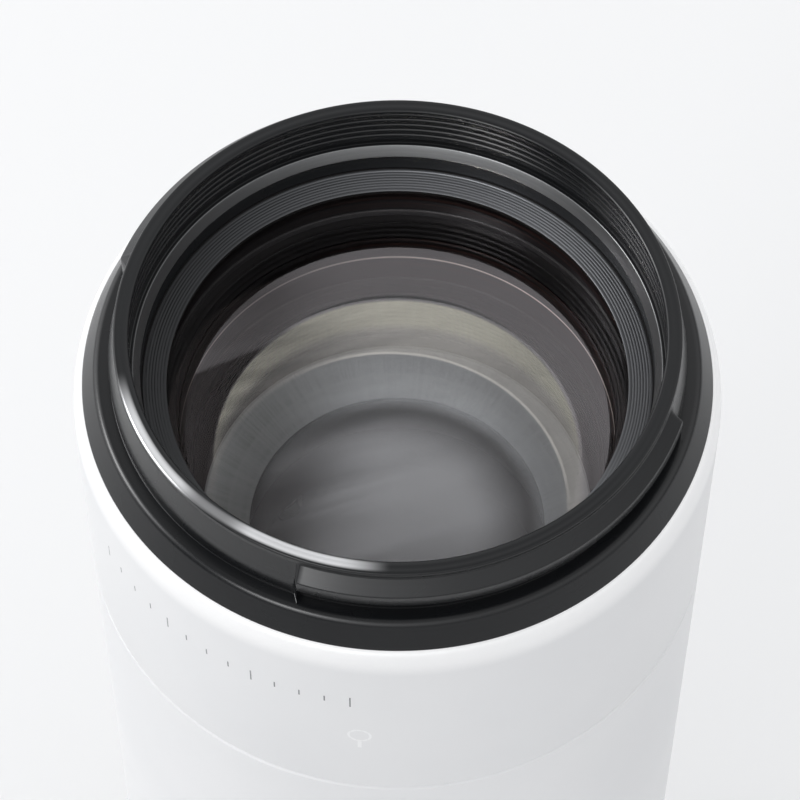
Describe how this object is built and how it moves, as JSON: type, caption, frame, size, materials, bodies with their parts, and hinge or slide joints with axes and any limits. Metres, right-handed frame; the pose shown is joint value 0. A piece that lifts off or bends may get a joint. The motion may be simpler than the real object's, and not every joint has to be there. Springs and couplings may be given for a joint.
{
  "type": "super telephoto zoom lens",
  "caption": "White super telephoto zoom lens with a filter thread, zoom, focus and aperture rings, a switch panel, a rotating tripod collar and a camera bayonet.",
  "frame": {"origin": "centre of the bayonet flange's face, where the lens meets the camera", "axes": "+Z along the optical axis towards the front rim, -Y towards the lens's top, +Y towards the tripod foot, -X towards the switch panel"},
  "size_m": [0.1118, 0.1235, 0.3193],
  "materials": {
    "white_paint": "satin",
    "black_anodised": "satin",
    "grey_ring": "satin",
    "coated_glass": "gloss",
    "black_polymer": "satin",
    "black_alloy": "satin",
    "grey_alloy": "satin",
    "bright_mount": "satin",
    "screw_steel": "satin",
    "black_rubber": "matte",
    "gold_contacts": "polished",
    "green_board": "satin",
    "blade_polymer": "satin",
    "grey_switch": "satin"
  },
  "bodies": {
    "lens_body": {"front_ring": "black_anodised", "retaining_ring": "grey_ring", "front_element": "coated_glass", "second_element": "coated_glass", "front_cell": "black_polymer", "front_barrel": "white_paint", "mid_barrel": "white_paint", "main_barrel": "black_alloy", "guide_barrel": "black_polymer", "rear_barrel": "white_paint", "switch_panel": "black_polymer", "rear_collar": "black_polymer", "mount_ring": "bright_mount", "mount_screws": "screw_steel", "mount_gasket": "black_rubber", "contact_block": "black_polymer", "contact_pads": "gold_contacts", "main_board": "green_board", "rear_cell": "black_polymer", "rear_element": "coated_glass", "iris_housing": "black_polymer", "stabiliser_housing": "black_polymer", "focus_guide_rods": "screw_steel"},
    "zoom_body": {"zoom_ring": "black_polymer", "zoom_grip": "black_rubber", "cam_barrel": "grey_alloy"},
    "variator_group": {"variator_cell": "black_polymer", "variator_lens": "coated_glass"},
    "compensator_group": {"compensator_cell": "black_polymer", "compensator_lens": "coated_glass"},
    "focus_ring_body": {"focus_ring": "black_polymer", "focus_grip": "black_rubber"},
    "focus_group": {"focus_carriage": "black_polymer", "focus_lens": "coated_glass"},
    "stabiliser_slide": {"stabiliser_frame": "grey_alloy"},
    "stabiliser_group": {"stabiliser_cell": "black_polymer", "stabiliser_lens": "coated_glass"},
    "iris_drive": {"iris_drive_ring": "grey_alloy"},
    "aperture_body": {"aperture_ring": "black_polymer"},
    "blade_body_1": {"iris_blade_1": "blade_polymer"},
    "blade_body_2": {"iris_blade_2": "blade_polymer"},
    "blade_body_3": {"iris_blade_3": "blade_polymer"},
    "blade_body_4": {"iris_blade_4": "blade_polymer"},
    "blade_body_5": {"iris_blade_5": "blade_polymer"},
    "blade_body_6": {"iris_blade_6": "blade_polymer"},
    "blade_body_7": {"iris_blade_7": "blade_polymer"},
    "blade_body_8": {"iris_blade_8": "blade_polymer"},
    "blade_body_9": {"iris_blade_9": "blade_polymer"},
    "focus_button_body_1": {"focus_button_1": "black_rubber"},
    "focus_button_body_2": {"focus_button_2": "black_rubber"},
    "focus_button_body_3": {"focus_button_3": "black_rubber"},
    "focus_button_body_4": {"focus_button_4": "black_rubber"},
    "set_button_body": {"set_button": "black_rubber"},
    "stabiliser_switch_body": {"stabiliser_switch": "grey_switch"},
    "focus_range_switch_body": {"focus_range_switch": "grey_switch"},
    "button_mode_switch_body": {"button_mode_switch": "grey_switch"},
    "tripod_body": {"tripod_collar": "white_paint", "tripod_foot": "white_paint"},
    "collar_knob_body": {"collar_knob": "black_alloy"},
    "foot_knob_body": {"foot_knob": "black_alloy"}
  },
  "joints": [
    {"name": "zoom_turn", "type": "hinge", "parent": "lens_body", "child": "zoom_body", "pos_m": [0, 0, 0.1425], "axis": [0, 0, 1], "range_deg": [0, 90]},
    {"name": "variator_slide", "type": "slide", "parent": "lens_body", "child": "variator_group", "axis": [0, 0, -1], "range_m": [0, 0.03601]},
    {"name": "compensator_slide", "type": "slide", "parent": "lens_body", "child": "compensator_group", "axis": [0, 0, 1], "range_m": [0, 0.02401]},
    {"name": "focus_ring_turn", "type": "hinge", "parent": "lens_body", "child": "focus_ring_body", "pos_m": [0, 0, 0.10715], "axis": [0, 0, 1], "continuous": true},
    {"name": "focus_slide", "type": "slide", "parent": "lens_body", "child": "focus_group", "axis": [0, 0, 1], "range_m": [-0.014, 0.014]},
    {"name": "stabiliser_shift_x", "type": "slide", "parent": "lens_body", "child": "stabiliser_slide", "axis": [1, 0, 0], "range_m": [-0.001, 0.001], "stiffness_N_per_m": 2000},
    {"name": "stabiliser_shift_y", "type": "slide", "parent": "stabiliser_slide", "child": "stabiliser_group", "axis": [0, 1, 0], "range_m": [-0.001, 0.001], "stiffness_N_per_m": 2000},
    {"name": "iris_turn", "type": "hinge", "parent": "lens_body", "child": "iris_drive", "pos_m": [0, 0, 0.1368], "axis": [0, 0, -1], "range_deg": [0, 4.37]},
    {"name": "iris_blade_turn_1", "type": "hinge", "parent": "lens_body", "child": "blade_body_1", "pos_m": [0.031, 0, 0.1325], "axis": [0, 0, 1], "range_deg": [0, 30.05]},
    {"name": "iris_blade_turn_2", "type": "hinge", "parent": "lens_body", "child": "blade_body_2", "pos_m": [0.02375, 0.01993, 0.1325], "axis": [0, 0, 1], "range_deg": [0, 30.05]},
    {"name": "iris_blade_turn_3", "type": "hinge", "parent": "lens_body", "child": "blade_body_3", "pos_m": [0.00538, 0.03053, 0.1325], "axis": [0, 0, 1], "range_deg": [0, 30.05]},
    {"name": "iris_blade_turn_4", "type": "hinge", "parent": "lens_body", "child": "blade_body_4", "pos_m": [-0.0155, 0.02685, 0.1325], "axis": [0, 0, 1], "range_deg": [0, 30.05]},
    {"name": "iris_blade_turn_5", "type": "hinge", "parent": "lens_body", "child": "blade_body_5", "pos_m": [-0.02913, 0.0106, 0.1325], "axis": [0, 0, 1], "range_deg": [0, 30.05]},
    {"name": "iris_blade_turn_6", "type": "hinge", "parent": "lens_body", "child": "blade_body_6", "pos_m": [-0.02913, -0.0106, 0.1325], "axis": [0, 0, 1], "range_deg": [0, 30.05]},
    {"name": "iris_blade_turn_7", "type": "hinge", "parent": "lens_body", "child": "blade_body_7", "pos_m": [-0.0155, -0.02685, 0.1325], "axis": [0, 0, 1], "range_deg": [0, 30.05]},
    {"name": "iris_blade_turn_8", "type": "hinge", "parent": "lens_body", "child": "blade_body_8", "pos_m": [0.00538, -0.03053, 0.1325], "axis": [0, 0, 1], "range_deg": [0, 30.05]},
    {"name": "iris_blade_turn_9", "type": "hinge", "parent": "lens_body", "child": "blade_body_9", "pos_m": [0.02375, -0.01993, 0.1325], "axis": [0, 0, 1], "range_deg": [0, 30.05]},
    {"name": "aperture_ring_turn", "type": "hinge", "parent": "lens_body", "child": "aperture_body", "pos_m": [0, 0, 0.023], "axis": [0, 0, 1], "continuous": true},
    {"name": "focus_button_press_1", "type": "slide", "parent": "lens_body", "child": "focus_button_body_1", "axis": [-0.7071, -0.7071, 0], "range_m": [0, 0.0005], "stiffness_N_per_m": 800, "springref_m": -0.0005},
    {"name": "focus_button_press_2", "type": "slide", "parent": "lens_body", "child": "focus_button_body_2", "axis": [0.7071, -0.7071, 0], "range_m": [0, 0.0005], "stiffness_N_per_m": 800, "springref_m": -0.0005},
    {"name": "focus_button_press_3", "type": "slide", "parent": "lens_body", "child": "focus_button_body_3", "axis": [0.7071, 0.7071, 0], "range_m": [0, 0.0005], "stiffness_N_per_m": 800, "springref_m": -0.0005},
    {"name": "focus_button_press_4", "type": "slide", "parent": "lens_body", "child": "focus_button_body_4", "axis": [-0.7071, 0.7071, 0], "range_m": [0, 0.0005], "stiffness_N_per_m": 800, "springref_m": -0.0005},
    {"name": "set_button_press", "type": "slide", "parent": "lens_body", "child": "set_button_body", "axis": [1, 0, 0], "range_m": [0, 0.0005], "stiffness_N_per_m": 800, "springref_m": -0.0005},
    {"name": "stabiliser_switch_slide", "type": "slide", "parent": "lens_body", "child": "stabiliser_switch_body", "axis": [0, 1, 0], "range_m": [0, 0.004]},
    {"name": "focus_range_switch_slide", "type": "slide", "parent": "lens_body", "child": "focus_range_switch_body", "axis": [0, 1, 0], "range_m": [0, 0.004]},
    {"name": "button_mode_switch_slide", "type": "slide", "parent": "lens_body", "child": "button_mode_switch_body", "axis": [0, 1, 0], "range_m": [0, 0.004]},
    {"name": "collar_turn", "type": "hinge", "parent": "lens_body", "child": "tripod_body", "pos_m": [0, 0, 0.0822], "axis": [0, 0, 1], "continuous": true},
    {"name": "collar_knob_turn", "type": "hinge", "parent": "tripod_body", "child": "collar_knob_body", "pos_m": [0.053, 0, 0.0822], "axis": [1, 0, 0], "range_deg": [0, 360]},
    {"name": "foot_knob_turn", "type": "hinge", "parent": "tripod_body", "child": "foot_knob_body", "pos_m": [-0.015, 0.0605, 0.0822], "axis": [-1, 0, 0], "range_deg": [0, 360]}
  ],
  "couplings": [
    {"joint": "variator_slide", "follows": "zoom_turn", "m_per_rad": 0.022918},
    {"joint": "compensator_slide", "follows": "zoom_turn", "m_per_rad": 0.015279},
    {"joint": "iris_blade_turn_1", "follows": "iris_turn", "ratio": 6.8645},
    {"joint": "iris_blade_turn_2", "follows": "iris_turn", "ratio": 6.8645},
    {"joint": "iris_blade_turn_3", "follows": "iris_turn", "ratio": 6.8645},
    {"joint": "iris_blade_turn_4", "follows": "iris_turn", "ratio": 6.8645},
    {"joint": "iris_blade_turn_5", "follows": "iris_turn", "ratio": 6.8645},
    {"joint": "iris_blade_turn_6", "follows": "iris_turn", "ratio": 6.8645},
    {"joint": "iris_blade_turn_7", "follows": "iris_turn", "ratio": 6.8645},
    {"joint": "iris_blade_turn_8", "follows": "iris_turn", "ratio": 6.8645},
    {"joint": "iris_blade_turn_9", "follows": "iris_turn", "ratio": 6.8645}
  ]
}
